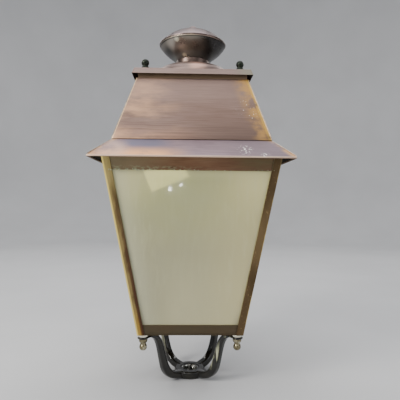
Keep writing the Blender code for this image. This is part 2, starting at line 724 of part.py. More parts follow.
clear_scene()
parts = new_collection("outdoor_wall_lantern")
cutters = new_collection("cutters", hidden=True)
build_cage()
build_hood()
build_lid()
build_fasteners()
build_fork()
build_lampholder()
build_lamp()
for part in list(parts.objects):
    apply_modifiers(part)
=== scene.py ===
import json
import math
import random

import bmesh
import bpy
from mathutils import Matrix, Quaternion, Vector, noise


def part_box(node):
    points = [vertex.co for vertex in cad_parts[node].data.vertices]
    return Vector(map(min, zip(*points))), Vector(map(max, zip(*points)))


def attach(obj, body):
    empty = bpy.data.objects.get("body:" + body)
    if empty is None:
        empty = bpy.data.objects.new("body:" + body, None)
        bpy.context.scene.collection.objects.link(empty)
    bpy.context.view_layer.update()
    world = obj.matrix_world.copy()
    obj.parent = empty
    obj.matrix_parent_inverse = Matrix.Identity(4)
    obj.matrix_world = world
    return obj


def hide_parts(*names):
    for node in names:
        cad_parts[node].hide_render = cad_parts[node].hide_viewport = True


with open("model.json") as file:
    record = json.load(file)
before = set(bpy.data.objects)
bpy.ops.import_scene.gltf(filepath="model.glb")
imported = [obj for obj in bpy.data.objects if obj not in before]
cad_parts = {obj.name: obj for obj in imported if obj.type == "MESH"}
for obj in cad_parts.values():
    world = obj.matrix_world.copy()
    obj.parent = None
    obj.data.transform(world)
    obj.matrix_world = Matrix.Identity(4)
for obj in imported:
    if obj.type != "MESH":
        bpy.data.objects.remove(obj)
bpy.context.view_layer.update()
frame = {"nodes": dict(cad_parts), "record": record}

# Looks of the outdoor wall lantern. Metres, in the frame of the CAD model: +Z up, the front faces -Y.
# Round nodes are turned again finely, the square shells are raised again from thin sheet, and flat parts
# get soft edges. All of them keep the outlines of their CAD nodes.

WELD = 0.000002
CLEAR_CORNER = math.radians(40)  # outlines bend less than this where they stand for a curve
ROUND_STEPS = 96
SMALL_STEPS = 48
SMOOTH_ANGLE = math.radians(38)
FLAT_ANGLE = math.radians(0.5)
SHARP_ANGLE = math.radians(45)
AXIS = Vector((0, 0, 0))  # where the lantern's upright axis meets the floor

CORNERS = {"front_left": (-1, -1), "front_right": (1, -1), "back_right": (1, 1), "back_left": (-1, 1)}
SIDES = ("front", "right", "back", "left")

# Cage, with the CAD posts' sizes
CAGE_FOOT = 0.0939
CAGE_HALF = 0.0839
CAGE_SPREAD = 0.1768

# Sheet metal
HIP_RADIUS = 0.0011
SHEET_CORNER = 0.00035
SOLDER_RADIUS = 0.0007
SOLDER_STEPS = 40
LOOKING_DOWN = -0.2  # a face whose normal rises less than this looks down

CRUMBS = 90

# Fork, with the CAD arms' sizes
FOOT_REACH = 0.1059
FOOT_MIDDLE_Z = 0.0885
FOOT_HOLE_RADIUS = 0.0034
HUB_RADIUS = 0.0268
HUB_HEIGHT = 0.0122
HUB_BORE_RADIUS = 0.0168
HUB_RIM = 0.0016
ARM_SIDES = 28
ARM_STEPS = 6  # between two stations
ARM_ROUNDING = 0.5  # exponent of the section: 1 is an ellipse, 0 a rectangle
CAST_GRAIN = 0.0007
FILLET_PASSES = 7

# Threads
PIPE_PITCH = 0.0018
PIPE_THREAD_DEPTH = 0.0011
LAMP_PITCH = 0.0036
LAMP_THREAD_DEPTH = 0.0006
SLEEVE_THICKNESS = 0.0012
METRIC_PITCH = 0.001
METRIC_THREAD_DEPTH = 0.00045

# Lamp filaments, with their distances from the axis
FILAMENT_RADIUS = 0.0009
FILAMENT_FOOT = 0.0042
FILAMENT_TIP = 0.0098

# Camera, solved from the photo's perspective
LENS = 36.7  # mm
CAMERA_PLACE = (-0.0052, -0.7279, 0.3033)
CAMERA_TURN = (-0.41, 1.644, 0.517)  # pitch, yaw and roll in degrees


# ---------------------------------------------------------------- materials


class Look:
    """A material under construction. Its textures are fixed to the object, in metres."""

    def __init__(self, name, roughness=0.4, metallic=0.0):
        self.material = bpy.data.materials.new(name)
        self.material.use_nodes = True
        self.tree = self.material.node_tree
        self.shader = self.tree.nodes["Principled BSDF"]
        self.shader.inputs["Roughness"].default_value = roughness
        self.shader.inputs["Metallic"].default_value = metallic
        self.place = self.tree.nodes.new("ShaderNodeTexCoord").outputs["Object"]
        split = self.tree.nodes.new("ShaderNodeSeparateXYZ")
        self.wire(self.place, split.inputs[0])
        self.x, self.y, self.z = split.outputs
        self.colour = None

    def wire(self, value, socket):
        if isinstance(value, bpy.types.NodeSocket):
            self.tree.links.new(value, socket)
        else:
            socket.default_value = value

    def set(self, **values):
        """Set the shader's inputs: set(base_color=..., coat_weight=...)."""
        for name, value in values.items():
            self.wire(value, self.shader.inputs[name.replace("_", " ").title().replace("Ior", "IOR")])

    def maths(self, operation, a, b=0.0, c=0.0):
        node = self.tree.nodes.new("ShaderNodeMath")
        node.operation = operation
        for value, socket in zip((a, b, c), node.inputs):
            self.wire(value, socket)
        return node.outputs[0]

    def times(self, *values):
        result = values[0]
        for value in values[1:]:
            result = self.maths("MULTIPLY", result, value)
        return result

    def span(self, value, low, high, to_low=0.0, to_high=1.0):
        """Smoothly 0 to 1 as value goes from low to high, which may be given the other way round."""
        node = self.tree.nodes.new("ShaderNodeMapRange")
        node.interpolation_type = "SMOOTHSTEP"
        if low > high:
            low, high, to_low, to_high = high, low, to_high, to_low
        for value_in, socket in zip((value, low, high, to_low, to_high), node.inputs):
            self.wire(value_in, socket)
        return node.outputs[0]

    def noise(self, scale, stretch=(1, 1, 1), detail=3.0, roughness=0.55, shift=0.0, distortion=0.0):
        """Noise with features of about 1 / scale metres, drawn out by the stretch of each axis."""
        mapping = self.tree.nodes.new("ShaderNodeMapping")
        mapping.inputs["Location"].default_value = (shift, shift * 0.7, shift * 1.3)
        mapping.inputs["Scale"].default_value = tuple(scale / factor for factor in stretch)
        self.wire(self.place, mapping.inputs["Vector"])
        node = self.tree.nodes.new("ShaderNodeTexNoise")
        node.inputs["Scale"].default_value = 1.0
        node.inputs["Detail"].default_value = detail
        node.inputs["Roughness"].default_value = roughness
        node.inputs["Distortion"].default_value = distortion
        self.wire(mapping.outputs[0], node.inputs["Vector"])
        return node.outputs["Fac"]

    def ramp(self, value, *stops):
        node = self.tree.nodes.new("ShaderNodeValToRGB")
        steps = node.color_ramp.elements
        while len(steps) < len(stops):
            steps.new(0.5)
        for step, (position, colour) in zip(steps, stops):
            step.position = position
            step.color = (*colour, 1.0)
        self.wire(value, node.inputs[0])
        return node.outputs[0]

    def blend(self, share, first, second):
        """First where share is 0, second where it is 1. Both are colours."""
        node = self.tree.nodes.new("ShaderNodeMix")
        node.data_type = "RGBA"
        colours = [tuple(c) + (1.0,) if isinstance(c, tuple) else c for c in (first, second)]
        self.wire(share, node.inputs[0])
        self.wire(colours[0], node.inputs[6])
        self.wire(colours[1], node.inputs[7])
        return node.outputs[2]

    def start(self, value, *stops):
        """Begin the base colour with a ramp."""
        self.colour = self.ramp(value, *stops)

    def tint(self, colour, *shares):
        """Lay another colour over the base colour, as far as the product of the shares."""
        self.colour = self.blend(self.times(*shares), self.colour, colour)

    def band(self, value, start, full, fading, end):
        """1 where value is between full and fading, falling to 0 at start and at end."""
        return self.times(self.span(value, start, full), self.span(value, end, fading))

    def near(self, centre, radius):
        """1 at a point of the object, falling to 0 at this radius."""
        node = self.tree.nodes.new("ShaderNodeVectorMath")
        node.operation = "DISTANCE"
        self.wire(self.place, node.inputs[0])
        node.inputs[1].default_value = centre
        return self.span(node.outputs["Value"], radius, radius * 0.25)

    def hip(self):
        """Distance from the nearer of the two vertical diagonal planes."""
        wide = self.maths("ABSOLUTE", self.x)
        deep = self.maths("ABSOLUTE", self.y)
        return self.maths("ABSOLUTE", self.maths("SUBTRACT", wide, deep))

    def from_corner(self):
        """Distance from the cage's nearest outer corner, measured along its leaning face."""
        half = self.maths("MULTIPLY_ADD", self.z, CAGE_SPREAD, CAGE_HALF - CAGE_FOOT * CAGE_SPREAD)
        nearer = self.maths("MINIMUM", self.maths("ABSOLUTE", self.x), self.maths("ABSOLUTE", self.y))
        return self.maths("SUBTRACT", half, nearer)

    def brush(self, grain, low, high, extra):
        """Roughness from low to high with the grain, plus this extra."""
        self.set(roughness=self.maths("ADD", self.span(grain, 0.2, 0.8, low, high), extra))

    def bump(self, height, distance, strength):
        node = self.tree.nodes.new("ShaderNodeBump")
        node.inputs["Distance"].default_value = distance
        node.inputs["Strength"].default_value = strength
        self.wire(height, node.inputs["Height"])
        self.wire(node.outputs[0], self.shader.inputs["Normal"])

    def finished(self, **values):
        """The material, with its base colour and these inputs set."""
        self.set(base_color=self.colour, **values)
        return self.material


def roof_copper():
    """Taupe aged copper, brushed across, worn pink on the left and to brass along the right hips. Painted
    light and shade: a lighter top, a darker lower right and a bright line on the hips.
    """
    look = Look("roof_copper_aged", metallic=1.0)
    grain = look.noise(1500, stretch=(70, 70, 1), detail=3)
    streak = look.noise(260, stretch=(34, 34, 1), detail=5, shift=3)
    cloud = look.noise(24, stretch=(2.6, 2.6, 0.8), detail=5, shift=11)
    look.start(
        cloud, (0.3, (0.15, 0.098, 0.082)), (0.52, (0.19, 0.128, 0.108)), (0.72, (0.235, 0.164, 0.142))
    )
    look.tint((0.31, 0.215, 0.178), look.span(streak, 0.3, 0.72, 0, 0.32))
    look.tint((0.085, 0.055, 0.042), look.span(grain, 0.56, 0.36, 0, 0.5))
    patches = look.span(look.noise(42, stretch=(3.2, 3.2, 0.9), detail=5, shift=27), 0.4, 0.68)
    pink = look.times(patches, look.span(look.x, 0, -0.08), look.span(look.y, 0.06, -0.06, 0.4, 0.75))
    look.tint((0.54, 0.33, 0.2), pink)
    # Painted light: the upper roof is lighter.
    look.tint((0.3, 0.215, 0.19), look.span(look.z, 0.448, 0.476, 0, 0.35))
    # Painted shade: the lower right of the roof is darker.
    look.tint((0.11, 0.08, 0.068), look.span(look.z, 0.436, 0.41), look.span(look.x, -0.06, 0.06), 0.45)
    low = look.times(look.span(look.z, 0.422, 0.404), look.span(look.x, 0.04, -0.04), 0.35)
    look.tint((0.4, 0.23, 0.155), low, look.span(streak, 0.28, 0.66))
    hip = look.hip()
    rub = look.noise(60, stretch=(1.5, 1.5, 1), detail=5, shift=5)
    right = look.span(look.x, -0.02, 0.05)
    gold = look.times(look.span(hip, 0.034, 0.004), look.span(rub, 0.38, 0.6), right, 0.85)
    look.tint((0.48, 0.275, 0.085), gold)
    bright = look.times(look.span(hip, 0.007, 0.002), look.span(rub, 0.3, 0.5), right, 0.95)
    look.tint((0.76, 0.47, 0.11), bright)
    look.tint((0.8, 0.59, 0.36), look.span(hip, 0.0024, 0.001), look.span(rub, 0.25, 0.45), 0.9)  # painted highlight along the hips
    specks = look.times(
        look.span(look.noise(420, detail=2, shift=8), 0.66, 0.72), look.near((0.088, -0.106, 0.452), 0.03)
    )
    look.tint((0.88, 0.84, 0.74), specks)
    look.brush(grain, 0.32, 0.46, look.times(cloud, 0.08))
    look.bump(grain, 0.00006, 0.7)
    return look.finished()


def eave_copper():
    """Mauve worn copper, with a blue-grey bloom, orange along the lower left edge and pale scuffs. Painted
    light: a pale reflection on the left, a bright hem and a reflection streak down the vent flange.
    """
    look = Look("eave_copper_worn", metallic=1.0)
    grain = look.noise(1300, stretch=(55, 55, 1), detail=3)
    cloud = look.noise(30, stretch=(2.2, 2.2, 0.7), detail=5, shift=4)
    look.start(cloud, (0.3, (0.215, 0.155, 0.17)), (0.55, (0.29, 0.215, 0.23)), (0.75, (0.34, 0.25, 0.245)))
    look.tint((0.17, 0.138, 0.158), look.span(look.x, 0.02, 0.11, 0, 0.6))
    look.tint((0.11, 0.08, 0.08), look.span(grain, 0.56, 0.36, 0, 0.35))
    bloom = look.times(look.near((-0.072, -0.13, 0.386), 0.05), look.span(cloud, 0.22, 0.55), 0.95)
    look.tint((0.175, 0.168, 0.225), bloom)
    rub = look.noise(56, stretch=(2, 2, 1), detail=5, shift=19)
    left = look.times(look.span(look.x, 0.005, -0.06), look.span(look.z, 0.388, 0.373), 0.95)
    look.tint((0.78, 0.41, 0.195), left, look.span(rub, 0.28, 0.58))
    # Painted sheen: a pale reflection on the left of the eave.
    painted_sheen = look.times(look.near((-0.118, -0.142, 0.38), 0.034), look.span(rub, 0.25, 0.6), 0.7)
    look.tint((0.62, 0.43, 0.33), painted_sheen)
    edge = look.times(look.span(look.hip(), 0.012, 0.001), look.span(look.z, 0.49, 0.47), 0.9)
    look.tint((0.7, 0.44, 0.21), edge, look.span(rub, 0.3, 0.6))
    # Painted highlight: the hem's front face is pale, as if catching the light.
    hem = look.band(look.z, 0.3665, 0.3672, 0.37, 0.3712)
    look.tint((0.82, 0.6, 0.46), hem)
    fine = look.span(look.noise(330, stretch=(1, 1, 2), detail=4, shift=31), 0.55, 0.63)
    scuff = look.maths(
        "MAXIMUM", look.near((0.076, -0.137, 0.38), 0.015), look.near((0.105, -0.148, 0.371), 0.009)
    )
    look.tint((0.9, 0.86, 0.8), fine, scuff)
    lid = look.span(look.z, 0.47, 0.49)
    look.tint((0.27, 0.2, 0.135), lid, 0.45)
    # Painted reflection: a pale pink streak down the front of the vent flange.
    warm = look.times(look.near((0.008, -0.066, 0.531), 0.02), look.span(cloud, 0.2, 0.6, 0.5, 1.0), 0.8)
    look.tint((0.72, 0.45, 0.35), warm)
    tint = look.times(lid, look.span(look.x, 0.06, 0.088), look.span(look.z, 0.53, 0.516), 0.6)
    look.tint((0.25, 0.25, 0.185), tint)
    look.brush(grain, 0.3, 0.44, look.times(cloud, 0.1))
    look.bump(grain, 0.00005, 0.6)
    return look.finished()


def cage_brass(name, lit):
    """Aged brass angle, dark with a few bright specks and a painted highlight on its inner edge. The
    front-left post's copy is painted as lit: yellow along its corner, partly worn back, with a bright line on
    the corner.
    """
    look = Look(name, metallic=1.0)
    grain = look.noise(1100, stretch=(1, 1, 45), detail=3)
    cloud = look.noise(40, stretch=(1, 1, 3), detail=5, shift=6)
    rub = look.noise(90, stretch=(1, 1, 5), detail=5, shift=15)
    look.start(
        cloud, (0.3, (0.07, 0.046, 0.024)), (0.55, (0.125, 0.084, 0.044)), (0.78, (0.185, 0.13, 0.066))
    )
    out = look.from_corner()
    # Painted light: the lit front-left post's brass, lighter and yellower, partly worn wear.
    if lit:
        reach = look.maths("ADD", out, look.span(rub, 0.3, 0.7, 0.0035, -0.003))
        look.tint((0.31, 0.23, 0.098), look.span(reach, 0.0105, 0.0045, 0, 0.85))
        top = look.times(look.span(look.z, 0.3, 0.35), 0.5)
        look.tint((0.48, 0.39, 0.16), top)
        foot = look.times(look.span(look.z, 0.15, 0.105), look.span(out, 0.01, 0.008), 0.55)
        look.tint((0.58, 0.35, 0.07), foot)
        red = look.times(look.span(look.z, 0.3, 0.18), look.span(out, 0.006, 0.0088), 0.85)
        look.tint((0.085, 0.04, 0.026), red)
        edge = look.span(out, 0.0034, 0.0014, 0, 0.95)
    else:
        specks = look.times(look.span(look.noise(330, stretch=(1, 1, 2), detail=5, shift=21), 0.6, 0.7), 0.55)
        look.tint((0.42, 0.29, 0.13), specks)
        lighter = look.times(look.near((0.104, -0.111, 0.248), 0.07), 0.5)
        look.tint((0.23, 0.16, 0.08), lighter)
        # Painted highlight: a pale line along the inner edge of the posts near the top.
        inner = look.times(look.span(out, 0.0114, 0.0119), look.span(look.z, 0.33, 0.35), 0.5)
        look.tint((0.56, 0.5, 0.33), inner)
        edge = look.times(look.span(out, 0.0012, 0.0005), look.span(rub, 0.42, 0.65), 0.6)
    look.tint((0.94, 0.74, 0.22), edge)
    look.brush(grain, 0.26, 0.42, look.times(cloud, 0.12))
    look.bump(grain, 0.00006, 0.6)
    return look.finished()


def rail_bronze():
    """Red-brown patina, olive low down, with a grey-green smear on the top rails. Painted light makes it pale
    in the shade under the lid.
    """
    look = Look("rail_bronze_patina", metallic=0.85)
    grain = look.noise(1000, stretch=(34, 34, 1), detail=3)
    cloud = look.noise(46, stretch=(2.6, 2.6, 0.9), detail=5, shift=9)
    look.start(cloud, (0.3, (0.12, 0.066, 0.04)), (0.52, (0.18, 0.096, 0.06)), (0.76, (0.225, 0.135, 0.085)))
    look.tint((0.06, 0.036, 0.024), look.span(grain, 0.56, 0.36, 0, 0.35))
    olive = look.times(look.span(look.z, 0.125, 0.108), look.span(cloud, 0.25, 0.6, 0.65, 0.9))
    look.tint((0.078, 0.066, 0.04), olive)
    look.tint((0.4, 0.27, 0.17), look.span(look.z, 0.46, 0.48), 0.85)  # painted light in the shaded throat under the lid
    rail = look.band(look.z, 0.3, 0.34, 0.4, 0.42)
    fine = look.noise(300, stretch=(2, 2, 1), detail=5, shift=2)
    dusty = look.times(look.span(look.x, 0, -0.12), look.span(cloud, 0.2, 0.55, 0.5, 1.0), rail, 0.65)
    look.tint((0.185, 0.168, 0.105), dusty)
    under = look.times(look.span(look.z, 0.359, 0.3545), rail)
    smear = look.times(look.span(fine, 0.46, 0.6), look.span(look.x, 0.05, -0.09), under)
    look.tint((0.33, 0.325, 0.2), smear, 0.75)
    right = look.times(look.span(look.x, 0.04, 0.1), look.span(cloud, 0.35, 0.6), rail, 0.7)
    look.tint((0.13, 0.115, 0.06), right)
    look.brush(grain, 0.34, 0.48, look.times(smear, 0.3))
    look.bump(look.maths("ADD", grain, look.times(smear, 2.0)), 0.00008, 0.5)
    return look.finished()


def frosted_glass():
    """Milky glass with glossy faces and faint runs. Painted light at its right and its edges, a painted
    reflection along its top, and painted shade low on the left and in its lower corners.
    """
    look = Look("frosted_glass_milky")
    mottle = look.noise(18, detail=4, shift=7)
    runs = look.noise(150, stretch=(1, 1, 26), detail=3, shift=1)
    wide = look.maths("ABSOLUTE", look.x)
    out = look.from_corner()
    height = look.span(look.z, 0.1, 0.37)
    look.start(
        height, (0.0, (0.627, 0.583, 0.34)), (0.45, (0.457, 0.434, 0.236)), (1.0, (0.466, 0.475, 0.187))
    )
    look.tint((0.466, 0.466, 0.288), look.span(mottle, 0.35, 0.7, 0, 0.25))
    # Painted light: lighter to the right and up the sides, as light through the side panes.
    look.tint((0.743, 0.663, 0.306), look.span(look.x, -0.02, 0.11, 0, 0.6))
    upper = look.times(look.span(wide, 0.035, 0.105), look.span(look.z, 0.27, 0.36), 0.92)
    look.tint((0.851, 0.789, 0.367), upper)
    look.tint((0.806, 0.771, 0.367), look.span(look.z, 0.334, 0.35), 0.45)  # painted reflection along the top
    # Painted shade: darker low on the left.
    lower = look.times(look.span(look.x, -0.01, -0.07), look.span(look.z, 0.27, 0.13), 0.6)
    look.tint((0.34, 0.332, 0.201), lower)
    # Painted light at the left edge.
    side = look.times(look.span(out, 0.05, 0.014), look.span(look.x, -0.02, -0.05), 0.5)
    look.tint((0.663, 0.654, 0.437), side)
    streaks = look.times(look.span(runs, 0.45, 0.7), look.span(wide, 0.02, 0.09, 0.06, 0.22))
    look.tint((0.716, 0.699, 0.42), streaks)
    # Painted shade: darker in the lower corners.
    corner = look.times(look.span(out, 0.024, 0.011), look.span(look.z, 0.14, 0.108), 0.55)
    look.tint((0.233, 0.215, 0.148), corner, look.span(mottle, 0.35, 0.6))
    look.bump(look.noise(9, detail=1, shift=13), 0.0001, 0.2)
    look.set(coat_weight=1.0, coat_roughness=0.015)
    look.set(roughness=look.span(mottle, 0.3, 0.7, 0.07, 0.12))
    return look.finished(transmission_weight=0.28, ior=1.45)


def black_enamel():
    """Gloss black paint on a casting: orange peel, dust, and painted highlights in streaks along two of the
    arms.
    """
    look = Look("black_enamel_gloss")
    peel = look.noise(420, detail=2)
    lumps = look.noise(70, detail=3, shift=12)
    dust = look.times(look.span(look.noise(260, detail=4, shift=4), 0.6, 0.72), look.span(lumps, 0.45, 0.65))
    look.start(lumps, (0.35, (0.0052, 0.0048, 0.0036)), (0.7, (0.016, 0.0145, 0.01)))
    look.tint((0.09, 0.085, 0.06), dust, 0.5)
    run = look.noise(230, stretch=(1, 1, 9), detail=3, shift=17)
    slant = look.maths("ADD", look.x, look.y)
    fading = look.span(look.x, -0.01, 0.01, 0.3)
    side = look.times(look.band(slant, -0.011, -0.0102, -0.0082, -0.0074), fading)
    tall = look.band(look.z, 0.022, 0.04, 0.084, 0.092)
    look.tint((0.6, 0.61, 0.4), side, tall, look.span(run, 0.46, 0.57), 0.8)  # painted highlight
    look.bump(look.maths("ADD", look.times(peel, 0.35), lumps), 0.0006, 0.4)
    look.set(roughness=look.span(lumps, 0.3, 0.7, 0.05, 0.12))
    return look.finished(specular_ior_level=0.5)


def zinc_steel():
    """Bright plated steel with turning marks, mottled at random from near black to near white as painted
    shade and glints.
    """
    look = Look("zinc_steel_bright", metallic=1.0)
    marks = look.noise(2600, stretch=(30, 30, 1), detail=2)
    cloud = look.noise(180, detail=3, shift=5)
    look.start(cloud, (0.42, (0.07, 0.07, 0.06)), (0.52, (0.42, 0.42, 0.39)), (0.6, (0.9, 0.9, 0.86)))
    look.bump(marks, 0.00004, 0.4)
    return look.finished(roughness=look.span(marks, 0.25, 0.75, 0.12, 0.28))


def aged_nickel():
    """Turned brass with worn nickel plating: cream where it is left, and olive brown where it has gone. A
    painted highlight rings the foot spacers' top.
    """
    look = Look("aged_nickel_worn", metallic=1.0)
    spots = look.noise(420, detail=4, shift=3)
    cloud = look.noise(130, detail=4, shift=6)
    look.start(cloud, (0.36, (0.15, 0.125, 0.07)), (0.52, (0.26, 0.23, 0.145)), (0.68, (0.52, 0.49, 0.37)))
    look.tint((0.07, 0.056, 0.03), look.span(spots, 0.56, 0.68, 0, 0.55))
    look.tint((0.86, 0.83, 0.7), look.span(look.z, 0.0902, 0.0908), 0.8)  # painted highlight
    look.bump(spots, 0.00006, 0.4)
    return look.finished(roughness=look.span(spots, 0.3, 0.7, 0.14, 0.3))


def dark_bronze():
    """Spun metal, dark and glossy, paler at its rim. Painted light and shade: lighter at the upper left with
    two glints, darker at its sides and in a line under the rim. The small nuts are near black.
    """
    look = Look("dark_bronze_gloss", metallic=1.0)
    cloud = look.noise(38, detail=4, shift=8)
    rings = look.noise(1600, stretch=(40, 40, 1), detail=2)
    look.start(cloud, (0.35, (0.15, 0.14, 0.122)), (0.58, (0.205, 0.19, 0.16)), (0.78, (0.255, 0.225, 0.175)))
    look.tint((0.36, 0.37, 0.35), look.span(look.z, 0.566, 0.557), 0.8)  # low
    # Painted shade: the bowl darker towards its sides.
    sides = look.times(look.span(look.maths("ABSOLUTE", look.maths("ADD", look.x, 0.006)), 0.012, 0.036), 0.9)
    look.tint((0.03, 0.028, 0.029), sides)
    # Painted sheen along the top of the bowl, on the left.
    brow = look.times(look.span(look.z, 0.567, 0.577), look.span(look.x, 0.035, -0.015), 0.55)
    look.tint((0.29, 0.26, 0.22), brow)
    # Painted light on the upper left of the bowl.
    left = look.times(look.near((-0.03, -0.04, 0.574), 0.024), look.span(cloud, 0.3, 0.6, 0.6, 0.9))
    look.tint((0.37, 0.33, 0.285), left)
    # Painted highlights: two glints on the bowl.
    painted_glints = (look.near((-0.0265, -0.0475, 0.5765), 0.006), look.near((-0.014, -0.03, 0.557), 0.0055))
    look.tint((0.98, 0.96, 0.76), look.maths("MAXIMUM", *painted_glints))
    # The rim is paler, and painted light makes it paler still on the left.
    pale = look.span(look.x, 0.02, -0.02)
    outer = look.span(look.maths("ABSOLUTE", look.x), 0.054, 0.036, 0.2, 0.95)
    rim = look.times(look.span(look.z, 0.5803, 0.5809), outer)
    look.tint(look.blend(pale, (0.3, 0.215, 0.18), (0.56, 0.45, 0.35)), rim)
    # Painted shade: a dark line under the rim, where the dome meets the bowl.
    painted_groove_shade = look.band(look.z, 0.5786, 0.5792, 0.5799, 0.5804)
    look.tint((0.02, 0.018, 0.016), painted_groove_shade, 0.8)
    nuts = look.span(look.z, 0.548, 0.54)
    look.tint((0.026, 0.032, 0.024), nuts, 0.9)
    look.bump(rings, 0.00003, 0.35)
    return look.finished(roughness=look.span(cloud, 0.3, 0.7, 0.26, 0.36))


def cap_copper():
    """Pale pink-brown spun copper with faint spinning rings, browner on the collar."""
    look = Look("cap_copper_spun", metallic=1.0)
    cloud = look.noise(45, detail=4, shift=14)
    rings = look.noise(1500, stretch=(40, 40, 1), detail=2)
    look.start(
        cloud, (0.32, (0.19, 0.138, 0.126)), (0.55, (0.275, 0.205, 0.195)), (0.76, (0.37, 0.275, 0.235))
    )
    look.tint((0.085, 0.06, 0.048), look.span(look.z, 0.562, 0.556), 0.85)  # collar
    shade = look.times(look.span(look.x, 0.005, 0.045), look.span(look.z, 0.57, 0.575), 0.6)
    look.tint((0.14, 0.105, 0.09), shade)
    look.bump(rings, 0.00003, 0.35)
    return look.finished(roughness=look.span(cloud, 0.3, 0.7, 0.24, 0.38))


def dark_oxide():
    """The dull, blackened inside of the hood and the lid: oxide, and painted shade as well."""
    look = Look("dark_oxide_dull")
    cloud = look.noise(60, detail=5, shift=4)
    grit = look.noise(500, detail=3, shift=6)
    look.start(cloud, (0.35, (0.014, 0.011, 0.009)), (0.7, (0.042, 0.032, 0.024)))
    look.bump(grit, 0.0001, 0.5)
    return look.finished(specular_ior_level=0.12, roughness=look.span(grit, 0.3, 0.7, 0.7, 0.92))


def porcelain():
    """Glazed white porcelain with a few brown specks."""
    look = Look("porcelain_glazed")
    speck = look.noise(900, detail=2)
    cloud = look.noise(60, detail=3, shift=5)
    look.start(cloud, (0.35, (0.78, 0.76, 0.7)), (0.7, (0.86, 0.85, 0.81)))
    look.tint((0.42, 0.38, 0.32), look.span(speck, 0.7, 0.76, 0, 0.5))
    look.bump(cloud, 0.0001, 0.3)
    return look.finished(coat_weight=0.6, roughness=look.span(cloud, 0.3, 0.7, 0.08, 0.16))


def lamp_brass():
    """Clean brass with turning marks, on the lamp and its contacts."""
    look = Look("lamp_brass_bright", metallic=1.0)
    marks = look.noise(2200, stretch=(25, 25, 1), detail=2)
    cloud = look.noise(150, detail=3, shift=9)
    look.start(cloud, (0.35, (0.52, 0.36, 0.15)), (0.7, (0.8, 0.62, 0.33)))
    look.bump(marks, 0.00003, 0.4)
    return look.finished(roughness=look.span(marks, 0.25, 0.75, 0.18, 0.34))


def clear_glass():
    """The lamp's clear, slightly rippled glass."""
    look = Look("clear_glass_thin")
    ripple = look.noise(35, detail=2, shift=2)
    look.start(ripple, (0.3, (0.93, 0.955, 0.945)), (0.7, (0.965, 0.98, 0.975)))
    look.set(roughness=look.span(ripple, 0.3, 0.7, 0.015, 0.05))
    look.bump(ripple, 0.0002, 0.15)
    return look.finished(transmission_weight=1.0, ior=1.45)


def phosphor():
    """The yellow coating of the lamp's filaments, unlit."""
    look = Look("filament_phosphor", roughness=0.55)
    grit = look.noise(1800, detail=2)
    look.start(grit, (0.3, (0.7, 0.42, 0.06)), (0.7, (0.85, 0.58, 0.13)))
    look.bump(grit, 0.00005, 0.4)
    return look.finished(subsurface_weight=0.15)


def solder():
    """Soft solder, dulled and darkened."""
    look = Look("solder_dulled", metallic=1.0)
    lumps = look.noise(300, detail=3)
    look.start(lumps, (0.35, (0.26, 0.19, 0.14)), (0.65, (0.56, 0.44, 0.33)))
    look.bump(lumps, 0.0002, 0.5)
    return look.finished(roughness=look.span(lumps, 0.3, 0.7, 0.3, 0.48))


def verdigris():
    """Crumbs of green-grey corrosion and old putty."""
    look = Look("verdigris_crumbs", roughness=0.85)
    grit = look.noise(700, detail=4)
    look.start(grit, (0.3, (0.19, 0.2, 0.12)), (0.55, (0.4, 0.42, 0.27)), (0.75, (0.62, 0.6, 0.44)))
    look.bump(grit, 0.0003, 0.7)
    return look.finished()


MATERIALS = {
    "roof_copper": roof_copper(),
    "eave_copper": eave_copper(),
    "cage_brass": cage_brass("cage_brass_dark", lit=False),
    "cage_brass_lit": cage_brass("cage_brass_lit", lit=True),
    "rail_bronze": rail_bronze(),
    "frosted_glass": frosted_glass(),
    "black_enamel": black_enamel(),
    "zinc_steel": zinc_steel(),
    "aged_nickel": aged_nickel(),
    "dark_bronze": dark_bronze(),
    "cap_copper": cap_copper(),
    "dark_oxide": dark_oxide(),
    "porcelain": porcelain(),
    "lamp_brass": lamp_brass(),
    "clear_glass": clear_glass(),
    "phosphor": phosphor(),
    "solder": solder(),
    "verdigris": verdigris(),
}
SLOT_OF_NODE = {part["node"]: part["material_slot"] for part in frame["record"]["subparts"]}
BODIES = frame["record"]["behaviour"]["bodies"]
BODY_OF_NODE = {node: body for body, nodes in BODIES.items() for node in nodes}


# ---------------------------------------------------------------- shapes


def add_piece(name, shape, body, slot, material=None, replaced=()):
    """Turn a bmesh into a shown piece that rides on a body."""
    mesh = bpy.data.meshes.new(name)
    shape.to_mesh(mesh)
    shape.free()
    mesh.shade_smooth()
    mesh.set_sharp_from_angle(angle=SMOOTH_ANGLE)
    mesh.materials.append(MATERIALS[material or slot])
    piece = bpy.data.objects.new(name, mesh)
    bpy.context.scene.collection.objects.link(piece)
    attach(piece, body)
    if replaced:
        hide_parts(*replaced)
    return piece


def stand_for(node, shape, material=None):
    """Show this bmesh in place of a CAD node."""
    return add_piece(f"{node}_fine", shape, BODY_OF_NODE[node], SLOT_OF_NODE[node], material, [node])


def welded(node):
    """A bmesh of a CAD node, with its triangles joined to one another again."""
    shape = bmesh.new()
    shape.from_mesh(frame["nodes"][node].data)
    bmesh.ops.remove_doubles(shape, verts=shape.verts, dist=WELD)
    return shape


def skin(rings, loop=False, caps=False):
    """A closed mesh through rings of points. Loop joins the last ring to the first, and caps fills both."""
    shape = bmesh.new()
    rows = [[shape.verts.new(point) for point in ring] for ring in rings]
    if caps:
        shape.faces.new(rows[0])
        shape.faces.new(rows[-1])
    if loop:
        rows.append(rows[0])
    for first, second in zip(rows, rows[1:]):
        for index, here in enumerate(first):
            following = (index + 1) % len(first)
            shape.faces.new((here, first[following], second[following], second[index]))
    bmesh.ops.remove_doubles(shape, verts=shape.verts, dist=WELD)
    bmesh.ops.recalc_face_normals(shape, faces=shape.faces)
    return shape


